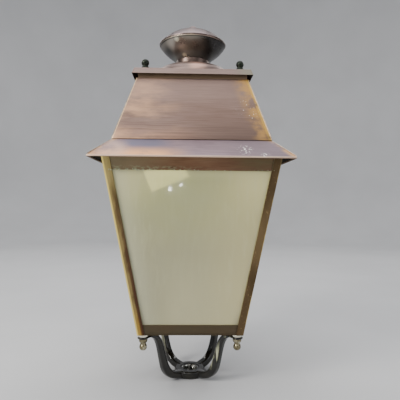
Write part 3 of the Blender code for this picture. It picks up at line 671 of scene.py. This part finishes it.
def outline_of(node, diagonal=False):
    """A turned CAD node's outline, as (distance from its axis, height), if it is a loop, and its middle."""
    low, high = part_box(node)
    centre = (low + high) / 2
    outward = Vector((1, 1, 0)) if diagonal else Vector((1, 0, 0))
    outward.normalize()
    across = Vector((-outward.y, outward.x, 0))
    shape = welded(node)

    def in_plane(vert):
        offset = vert.co - centre
        return abs(offset.dot(across)) < 5 * WELD and offset.dot(outward) > -5 * WELD

    def on_axis(vert):
        return abs((vert.co - centre).dot(outward)) < 5 * WELD

    links = {}
    for edge in shape.edges:
        first, second = edge.verts
        if in_plane(first) and in_plane(second) and not (on_axis(first) and on_axis(second)):
            links.setdefault(first, []).append(second)
            links.setdefault(second, []).append(first)
    ends = [vert for vert in links if len(links[vert]) == 1]
    loop = not ends
    here = ends[0] if ends else next(iter(links))
    seen = []
    while here is not None:
        seen.append(here)
        here = next((vert for vert in links[here] if vert not in seen), None)
    points = [Vector(((vert.co - centre).dot(outward), vert.co.z)) for vert in seen]
    shape.free()
    return points, loop, centre


def soften(outline, radius, loop):
    """Round an outline: its slight bends become one curve, and its clear corners get this radius."""
    points = []
    last = len(outline) - 1
    for index, here in enumerate(outline):
        before = outline[index - 1]
        after = outline[(index + 1) % len(outline)]
        if not loop and index in (0, last):
            near = outline[1] if index == 0 else outline[last - 1]
            mirrored = Vector((-near.x, near.y))
            before, after = (mirrored, near) if index == 0 else (near, mirrored)
        to_before, to_after = before - here, after - here
        opening = to_before.angle(to_after)
        reach = min(to_before.length, to_after.length) / 2
        if math.pi - opening > CLEAR_CORNER:
            reach = min(reach * 0.9, radius / math.tan(opening / 2))
        start = here + to_before.normalized() * reach
        end = here + to_after.normalized() * reach
        for step in range(5):
            t = step / 4
            point = start * (1 - t) ** 2 + here * 2 * t * (1 - t) + end * t * t
            if point.x > -WELD:
                points.append(Vector((max(point.x, 0.0), point.y)))
    return points


def round_ring(centre, radius, height, steps, depth=0.0, pitch=1.0):
    """Points of a circle, or of one slice through a thread of this depth and pitch."""
    ring = []
    for step in range(steps):
        angle = math.tau * step / steps
        wave = 0.5 - 0.5 * math.cos(math.tau * (height / pitch - step / steps))
        reach = radius + depth * wave
        ring.append((centre.x + reach * math.cos(angle), centre.y + reach * math.sin(angle), height))
    return ring


def respun(node, radius=0.0003, steps=SMALL_STEPS, material=None):
    """Turn a round CAD node again, finely, with its corners rounded."""
    outline, loop, centre = outline_of(node)
    rings = [round_ring(centre, point.x, point.y, steps) for point in soften(outline, radius, loop)]
    return stand_for(node, skin(rings, loop=loop), material)


def square_ring(half, height, radius, per_side):
    """Points round a square with rounded corners."""
    inner = half - radius
    side = [Vector((half, inner * (2 * step / per_side - 1))) for step in range(per_side + 1)]
    bend = (math.radians(30), math.radians(60))
    arc = [Vector((inner + radius * math.cos(angle), inner + radius * math.sin(angle))) for angle in bend]
    ring = []
    for quarter in range(4):
        turn = Matrix.Rotation(math.radians(90) * quarter, 2)
        ring += [(*(turn @ point), height) for point in side + arc]
    return ring


def finely_stepped(outline, loop, longest):
    """The outline with its long straight runs divided."""
    points = []
    following = outline[1:] + outline[:1] if loop else outline[1:]
    for here, after in zip(outline, following):
        count = max(1, math.ceil((after - here).length / longest))
        points += [here.lerp(after, step / count) for step in range(count)]
    return points if loop else points + [outline[-1]]


def resquared(node, sag, seed, per_side=28, longest=0.008):
    """Raise a square CAD shell again from thin sheet that is not quite flat."""
    diagonal, loop, _ = outline_of(node, diagonal=True)
    outline = [Vector((point.x / math.sqrt(2), point.y)) for point in diagonal]
    outline = finely_stepped(soften(outline, SHEET_CORNER, loop), loop, longest)
    shape = skin([square_ring(point.x, point.y, HIP_RADIUS, per_side) for point in outline], loop=loop)
    low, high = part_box(node)
    for vert in shape.verts:
        share = (vert.co.z - low.z) / (high.z - low.z)
        axis = 0 if abs(vert.co.x) > abs(vert.co.y) else 1
        across = vert.co[1 - axis] / vert.co[axis]
        fade = (1 - across**2) * math.sin(math.pi * min(max(share, 0), 1)) ** 0.7
        wave = noise.noise(Vector((vert.co.x * 22, vert.co.y * 22, vert.co.z * 16 + seed)))
        vert.co[axis] += math.copysign(sag * fade * (0.35 + wave), vert.co[axis])
    return stand_for(node, shape)


def refined(node, radius=0.00035, material=None):
    """A flat CAD part with its triangles joined into whole faces and its edges softened."""
    shape = welded(node)
    bmesh.ops.dissolve_limit(shape, angle_limit=FLAT_ANGLE, verts=shape.verts, edges=shape.edges)
    sharp = [edge for edge in shape.edges if edge.is_manifold and edge.calc_face_angle() > SHARP_ANGLE]
    bmesh.ops.bevel(
        shape, geom=sharp, offset=radius, offset_type="OFFSET", segments=3, profile=0.5, affect="EDGES",
        clamp_overlap=True,
    )
    piece = stand_for(node, shape, material)
    weighted = piece.modifiers.new("flat_faces", "WEIGHTED_NORMAL")
    weighted.keep_sharp = True
    return piece


def blacken_inside(piece):
    """Give the faces that look down, which are inside the hood or the lid, their dull black, which is oxide
    and painted shade.
    """
    piece.data.materials.append(MATERIALS["dark_oxide"])
    for face in piece.data.polygons:
        if face.normal.z < LOOKING_DOWN:
            face.material_index = 1


def modified_copy(piece):
    """The mesh of a piece with its modifiers applied."""
    graph = bpy.context.evaluated_depsgraph_get()
    return bpy.data.meshes.new_from_object(piece.evaluated_get(graph))


def merge(target, shape):
    """Add a bmesh to another, and free it."""
    mesh = bpy.data.meshes.new("merged")
    shape.to_mesh(mesh)
    shape.free()
    target.from_mesh(mesh)
    bpy.data.meshes.remove(mesh)


def scratch_object(name, shape):
    """An object that is not shown as a piece."""
    mesh = bpy.data.meshes.new(name)
    shape.to_mesh(mesh)
    shape.free()
    found = bpy.data.objects.new(name, mesh)
    bpy.context.scene.collection.objects.link(found)
    return found


def upright_cylinder(centre, radius, low, high, steps=ROUND_STEPS):
    outline = ((0, high), (radius, high), (radius, low), (0, low))
    return skin([round_ring(centre, reach, height, steps) for reach, height in outline])


def bead(name, body, slot, material, path, radius, seed, sides=10):
    """An uneven run of solder or weld along a path."""
    rings = []
    for index, here in enumerate(path):
        run = (path[min(index + 1, len(path) - 1)] - path[max(index - 1, 0)]).normalized()
        first = run.orthogonal().normalized()
        second = run.cross(first)
        taper = min(1.0, index / 3, (len(path) - 1 - index) / 3)
        swell = radius * (0.25 + 0.75 * taper) * (1 + 0.35 * noise.noise(here * 260 + Vector((seed, 0, 0))))
        ring = []
        for side in range(sides):
            angle = math.tau * side / sides
            ring.append(here + (first * math.cos(angle) + second * math.sin(angle)) * swell)
        rings.append(ring)
    return add_piece(name, skin(rings, caps=True), body, slot, material)


# ---------------------------------------------------------------- the lantern


def half_at(node, height):
    """Half the width of a CAD node at its points of this height."""
    points = [vert.co for vert in frame["nodes"][node].data.vertices if abs(vert.co.z - height) < 0.0004]
    return max(abs(point.x) for point in points)


def build_hood():
    blacken_inside(resquared("roof_shell", 0.001, 3.0))
    blacken_inside(resquared("eave_skirt", 0.0004, 8.0))
    resquared("hood_seat_ring", 0.0, 1.0, per_side=12)
    refined("roof_throat")
    roof_low, roof_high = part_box("roof_shell")
    eave_low, eave_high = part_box("eave_skirt")
    top_half = half_at("roof_shell", roof_high.z)
    runs = {
        "roof": (Vector((top_half, 0, roof_high.z - 0.001)), Vector((roof_high.x, 0, roof_low.z + 0.001))),
        "eave": (Vector((roof_high.x, 0, roof_low.z - 0.001)), Vector((eave_high.x, 0, eave_low.z + 0.0035))),
    }
    for corner, (x, y) in CORNERS.items():
        for number, (name, (start, end)) in enumerate(runs.items()):
            path = []
            for step in range(SOLDER_STEPS + 1):
                point = start.lerp(end, step / SOLDER_STEPS)
                inset = point.x - HIP_RADIUS * 0.42
                path.append(Vector((x * inset, y * inset, point.z)))
            seed = number + 3 * x + y
            bead(f"{name}_solder_{corner}", "cage", f"{name}_copper", "solder", path, SOLDER_RADIUS, seed)


def build_lid():
    blacken_inside(refined("lid_tray", 0.0005))
    respun("vent_flange", steps=ROUND_STEPS)
    respun("vent_collar", steps=ROUND_STEPS)
    respun("cap_bowl", 0.0005, ROUND_STEPS)
    respun("cap_dome", 0.0006, ROUND_STEPS)
    respun("cap_knob", 0.0008)


def build_cage():
    for corner in CORNERS:
        # The front-left post takes the brass painted as lit.
        lit = "cage_brass_lit" if corner == "front_left" else None
        refined(f"corner_post_{corner}", 0.00045, lit)
    for side in SIDES:
        refined(f"top_rail_{side}", 0.0003)
        refined(f"bottom_rail_{side}", 0.0003)
        refined(f"glass_pane_{side}", 0.0005)
    refined("floor_plate", 0.0003)


def build_crumbs():
    """Crumbs that gather where the front top rail meets the pane, most of them at its left end."""
    rail_low, rail_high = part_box("top_rail_front")
    draw = random.Random(5)
    shape = bmesh.new()
    for _ in range(CRUMBS):
        along = draw.random() ** 1.8
        x = rail_low.x + 0.004 + along * (rail_high.x - rail_low.x - 0.008)
        z = rail_low.z + draw.uniform(-0.0008, 0.0012)
        size = draw.uniform(0.0002, 0.0008) * (1.15 - 0.6 * along)
        lump = bmesh.ops.create_icosphere(shape, subdivisions=2, radius=size)
        place = Vector((x, rail_low.y + 0.0016 + draw.uniform(-0.0003, 0.0006), z))
        for vert in lump["verts"]:
            rough = 1 + 0.7 * noise.noise(vert.co * 1800 + place * 900)
            vert.co = place + Vector((vert.co.x * 1.5, vert.co.y * 0.8, vert.co.z)) * rough
    add_piece("verdigris_crumbs", shape, "cage", "rail_bronze", "verdigris")


def build_fasteners():
    for corner in CORNERS:
        respun(f"top_ball_nut_{corner}", 0.0004)
        respun(f"foot_ball_nut_{corner}", 0.0004)
        respun(f"foot_spacer_{corner}", 0.0004)
        respun(f"top_bolt_{corner}", 0.0012)
        respun(f"foot_bolt_{corner}", 0.0012)


def fork_arm(corner):
    """A bmesh of one cast arm, from its flat foot down into the hub."""
    stations = [  # distance from the axis, height, depth, width
        (FOOT_REACH + 0.009, FOOT_MIDDLE_Z, 0.003, 0.005),
        (FOOT_REACH + 0.0072, FOOT_MIDDLE_Z, 0.003, 0.0115),
        (FOOT_REACH, FOOT_MIDDLE_Z, 0.003, 0.0168),
        (FOOT_REACH - 0.008, FOOT_MIDDLE_Z, 0.0034, 0.0138),
        (FOOT_REACH - 0.015, FOOT_MIDDLE_Z - 0.0007, 0.005, 0.0118),
        (0.0815, 0.0842, 0.0087, 0.0108),
        (0.0748, 0.0765, 0.0107, 0.0108),
        (0.0706, 0.066, 0.0111, 0.0113),
        (0.067, 0.0535, 0.0117, 0.0119),
        (0.0632, 0.04, 0.0125, 0.0125),
        (0.0588, 0.0275, 0.0135, 0.0133),
        (0.0516, 0.0175, 0.0135, 0.0137),
        (0.04, 0.0104, 0.0127, 0.0141),
        (0.0205, 0.0066, 0.012, 0.0146),
    ]
    x, y = CORNERS[corner]
    outward = Vector((x, y, 0)).normalized()
    across = Vector((-y, x, 0)).normalized()
    ends = [stations[0], *stations, stations[-1]]
    path = []
    for near in zip(ends, ends[1:], ends[2:], ends[3:]):
        for step in range(ARM_STEPS):
            path.append([between(*values, step / ARM_STEPS) for values in zip(*near)])
    rings = []
    for index, (reach, height, depth, width) in enumerate(path):
        before = path[max(index - 1, 0)]
        after = path[min(index + 1, len(path) - 1)]
        run = (outward * (after[0] - before[0]) + Vector((0, 0, after[1] - before[1]))).normalized()
        normal = run.cross(across)
        centre = outward * reach + Vector((0, 0, height))
        ring = []
        for side in range(ARM_SIDES):
            angle = math.tau * (side + 0.5) / ARM_SIDES
            u = math.copysign(abs(math.cos(angle)) ** ARM_ROUNDING, math.cos(angle)) * depth / 2
            v = math.copysign(abs(math.sin(angle)) ** ARM_ROUNDING, math.sin(angle)) * width / 2
            ring.append(centre + normal * u + across * v)
        rings.append(ring)
    return skin(rings, caps=True)


def between(before, start, end, after, t):
    """Catmull-Rom: the value at t, from 0 to 1, between start and end."""
    slope = end - before
    bend = 2 * before - 5 * start + 4 * end - after
    twist = 3 * start - before - 3 * end + after
    return 0.5 * (2 * start + slope * t + bend * t**2 + twist * t**3)


def build_fork():
    """The casting: arms and hub run together with soft fillets, then the holes are drilled."""
    blank = bmesh.new()
    for corner in CORNERS:
        merge(blank, fork_arm(corner))
    hub_outline = [
        (0, HUB_HEIGHT),
        (HUB_RADIUS - HUB_RIM, HUB_HEIGHT),
        (HUB_RADIUS, HUB_HEIGHT - HUB_RIM),
        (HUB_RADIUS, HUB_RIM),
        (HUB_RADIUS - HUB_RIM, 0),
        (0, 0),
    ]
    merge(blank, skin([round_ring(AXIS, radius, height, ROUND_STEPS) for radius, height in hub_outline]))
    casting = scratch_object("casting", blank)
    remesh = casting.modifiers.new("one_skin", "REMESH")
    remesh.mode = "VOXEL"
    remesh.voxel_size = CAST_GRAIN
    smooth = casting.modifiers.new("fillets", "SMOOTH")
    smooth.factor = 0.5
    smooth.iterations = FILLET_PASSES
    cutters = bmesh.new()
    holes = [(AXIS, HUB_BORE_RADIUS, -0.01, HUB_HEIGHT + 0.01, ROUND_STEPS)]
    for corner in CORNERS:
        low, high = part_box(f"foot_bolt_{corner}")
        middle = (low + high) / 2
        holes.append((middle, FOOT_HOLE_RADIUS, FOOT_MIDDLE_Z - 0.005, FOOT_MIDDLE_Z + 0.005, SMALL_STEPS))
    for hole in holes:
        merge(cutters, upright_cylinder(*hole))
    drills = scratch_object("drills", cutters)
    cut = casting.modifiers.new("holes", "BOOLEAN")
    cut.operation = "DIFFERENCE"
    cut.object = drills
    finished = bmesh.new()
    finished.from_mesh(modified_copy(casting))
    bpy.data.objects.remove(casting)
    bpy.data.objects.remove(drills)
    stand_for("fork", finished)


def threaded_wall(centre, radius, low, high, depth, pitch, steps=ROUND_STEPS, per_turn=9):
    """Rings of a threaded wall, from its top down, whose thread runs out at both ends."""
    count = max(2, math.ceil((high - low) / pitch * per_turn))
    rings = []
    for step in range(count + 1):
        height = high + (low - high) * step / count
        fade = min(1.0, (high - height) / pitch, (height - low) / pitch)
        rings.append(round_ring(centre, radius, height, steps, depth * fade, pitch))
    return rings


def build_bush():
    """The bright bush in the hub, with the bracket pin's pipe thread."""
    low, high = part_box("fork_bush")
    bore = min(point.x for point in outline_of("fork_bush")[0])
    lead, edge = 0.0007, 0.0003
    rings = threaded_wall(AXIS, bore, low.z + lead, high.z - lead, PIPE_THREAD_DEPTH, PIPE_PITCH)
    outside = [
        (bore + lead, low.z),
        (high.x - edge, low.z),
        (high.x, low.z + edge),
        (high.x, high.z - edge),
        (high.x - edge, high.z),
        (bore + lead, high.z),
    ]
    rings += [round_ring(AXIS, radius, height, ROUND_STEPS) for radius, height in outside]
    bush = stand_for("fork_bush", skin(rings, loop=True))
    bush.data.materials.append(MATERIALS["black_enamel"])
    for face in bush.data.polygons:
        if abs(face.normal.z) > 0.9 or face.center.xy.length > high.x - 0.0005:
            face.material_index = 1


def build_lampholder():
    respun("lampholder", 0.0008, ROUND_STEPS)
    respun("centre_contact", 0.0004)
    refined("nipple_nut", 0.0004)
    low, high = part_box("lampholder_nipple")
    bore = min(point.x for point in outline_of("lampholder_nipple")[0])
    depth = METRIC_THREAD_DEPTH
    wall = threaded_wall(AXIS, high.x - depth, low.z, high.z, depth, METRIC_PITCH, SMALL_STEPS, 6)
    ends = [round_ring(AXIS, bore, height, SMALL_STEPS) for height in (low.z, high.z)]
    stand_for("lampholder_nipple", skin(wall + ends, loop=True))
    low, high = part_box("lampholder_thread")
    wall = threaded_wall(AXIS, high.x - SLEEVE_THICKNESS, low.z, high.z, LAMP_THREAD_DEPTH, LAMP_PITCH)
    back = [round_ring(AXIS, high.x, height, ROUND_STEPS) for height in (low.z, high.z)]
    stand_for("lampholder_thread", skin(wall + back, loop=True))


def build_lamp():
    outline = outline_of("lamp_cap")[0]
    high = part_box("lamp_cap")[1]
    skirt = high.x - LAMP_THREAD_DEPTH
    shoulder = min(point.y for point in outline if point.x > high.x - WELD)
    contact = [point for point in outline if point.y < shoulder - WELD]
    if contact[0].y < contact[-1].y:
        contact.reverse()
    rings = [round_ring(AXIS, 0, high.z, ROUND_STEPS)]
    rings += threaded_wall(AXIS, skirt, shoulder, high.z, LAMP_THREAD_DEPTH, LAMP_PITCH)
    rings += [round_ring(AXIS, point.x, point.y, ROUND_STEPS) for point in contact]
    stand_for("lamp_cap", skin(rings))
    respun("lamp_globe", 0.0003, ROUND_STEPS)
    respun("lamp_stem", 0.0006)
    stem_low, stem_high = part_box("lamp_stem")
    shape = bmesh.new()
    for quarter in range(4):
        angle = math.radians(90) * quarter + math.radians(20)
        outward = Vector((math.cos(angle), math.sin(angle), 0))
        foot = outward * FILAMENT_FOOT + Vector((0, 0, stem_low.z + 0.012))
        tip = outward * FILAMENT_TIP + Vector((0, 0, stem_high.z + 0.001))
        run = tip - foot
        turn = run.to_track_quat("Z", "Y").to_matrix().to_4x4()
        bmesh.ops.create_cone(
            shape, cap_ends=True, segments=12, radius1=FILAMENT_RADIUS, radius2=FILAMENT_RADIUS,
            depth=run.length, matrix=Matrix.Translation((foot + tip) / 2) @ turn,
        )
    add_piece("lamp_filaments", shape, "lamp", "lamp_brass", "phosphor")


# ---------------------------------------------------------------- stage, light and camera


def build_stage():
    """A pale round floor that rises into a wall far out on every side."""
    flat, bend, wall = 2.4, 0.9, 2.6
    bend_steps = 12
    below = 0.0004  # so that the fork stands just clear of it
    outline = [(0, 0), (flat, 0)]
    for step in range(1, bend_steps + 1):
        angle = math.radians(90) * step / bend_steps
        outline.append((flat + bend * math.sin(angle), bend * (1 - math.cos(angle))))
    outline.append((flat + bend, wall))
    shape = bmesh.new()
    rows = []
    for radius, height in outline:
        ring = round_ring(AXIS, radius, height - below, ROUND_STEPS)
        rows.append([shape.verts.new(point) for point in ring])
    for first, second in zip(rows, rows[1:]):
        for index in range(ROUND_STEPS):
            following = (index + 1) % ROUND_STEPS
            shape.faces.new((first[index], first[following], second[following], second[index]))
    bmesh.ops.remove_doubles(shape, verts=shape.verts, dist=WELD)
    floor = scratch_object("studio_floor", shape)
    floor.data.shade_smooth()
    look = Look("studio_paper", roughness=0.85)
    tone = look.noise(3, detail=2)
    look.start(tone, (0.3, (0.56, 0.565, 0.575)), (0.7, (0.6, 0.605, 0.615)))
    floor.data.materials.append(look.finished())


def area_light(name, place, target, size, power, colour=(1, 1, 1), roll=0, only_gloss=False):
    data = bpy.data.lights.new(name, "AREA")
    data.shape = "RECTANGLE"
    data.size, data.size_y = size
    data.energy = power
    data.color = colour
    lamp = bpy.data.objects.new(name, data)
    lamp.location = place
    aim = (Vector(target) - Vector(place)).to_track_quat("-Z", "Y")
    lamp.rotation_euler = (aim @ Quaternion((0, 0, 1), math.radians(roll))).to_euler()
    lamp.visible_camera = False
    lamp.visible_diffuse = not only_gloss
    bpy.context.scene.collection.objects.link(lamp)


def build_lights():
    middle = (0, 0, 0.33)
    pane = (-0.08, -0.125, 0.34)
    warm = (1.0, 0.98, 0.95)
    area_light("key_left", (-1.5, -1.2, 1.25), middle, (0.9, 0.9), 30, (1.0, 0.97, 0.92))
    area_light("spark_left", (-1.3, -0.95, 1.0), middle, (0.1, 0.1), 4, warm)
    area_light("front_top", (-0.2, -1.7, 2.1), middle, (1.8, 1.1), 17, (1.0, 0.98, 0.96))
    area_light("fill_right", (1.8, -1.2, 1.0), middle, (0.9, 0.9), 7, (0.94, 0.96, 1.0))
    area_light("top", (0, 0.1, 2.4), middle, (1.8, 1.8), 22, (0.97, 0.97, 1.0))
    area_light("back_left", (-1.3, 1.6, 1.9), middle, (1.1, 1.1), 14, warm)
    area_light("back_right", (1.3, 1.6, 1.9), middle, (1.1, 1.1), 14, warm)
    yellow = (1.0, 0.92, 0.34)
    area_light(
        "window", (-0.0923, -1.08, 0.07), pane, (0.158, 0.085), 0.25, yellow, roll=22, only_gloss=True
    )
    area_light("glint_low", (-0.078, -1.08, 0.01), pane, (0.012, 0.014), 0.02, only_gloss=True)
    area_light("glint_high", (-0.035, -1.08, 0.026), pane, (0.01, 0.012), 0.013, only_gloss=True)
    world = bpy.data.worlds.new("studio_air")
    world.use_nodes = True
    world.node_tree.nodes["Background"].inputs["Color"].default_value = (0.84, 0.86, 0.9, 1)
    world.node_tree.nodes["Background"].inputs["Strength"].default_value = 0.5
    bpy.context.scene.world = world


def build_camera():
    """The photographer's view: a little to the left of the middle, close, and almost level."""
    data = bpy.data.cameras.new("camera")
    data.sensor_width = 36.0
    data.lens = LENS
    camera = bpy.data.objects.new("camera", data)
    pitch, yaw, roll = (math.radians(angle) for angle in CAMERA_TURN)
    turned_by = Matrix.Rotation(roll, 3, "Y") @ Matrix.Rotation(pitch, 3, "X") @ Matrix.Rotation(yaw, 3, "Z")
    level = Matrix.Rotation(math.radians(90), 3, "X")
    camera.rotation_euler = (turned_by.transposed() @ level).to_euler()
    camera.location = CAMERA_PLACE
    bpy.context.scene.collection.objects.link(camera)
    bpy.context.scene.camera = camera


build_hood()
build_lid()
build_cage()
build_crumbs()
build_fasteners()
build_fork()
build_bush()
build_lampholder()
build_lamp()
build_stage()
build_lights()
build_camera()
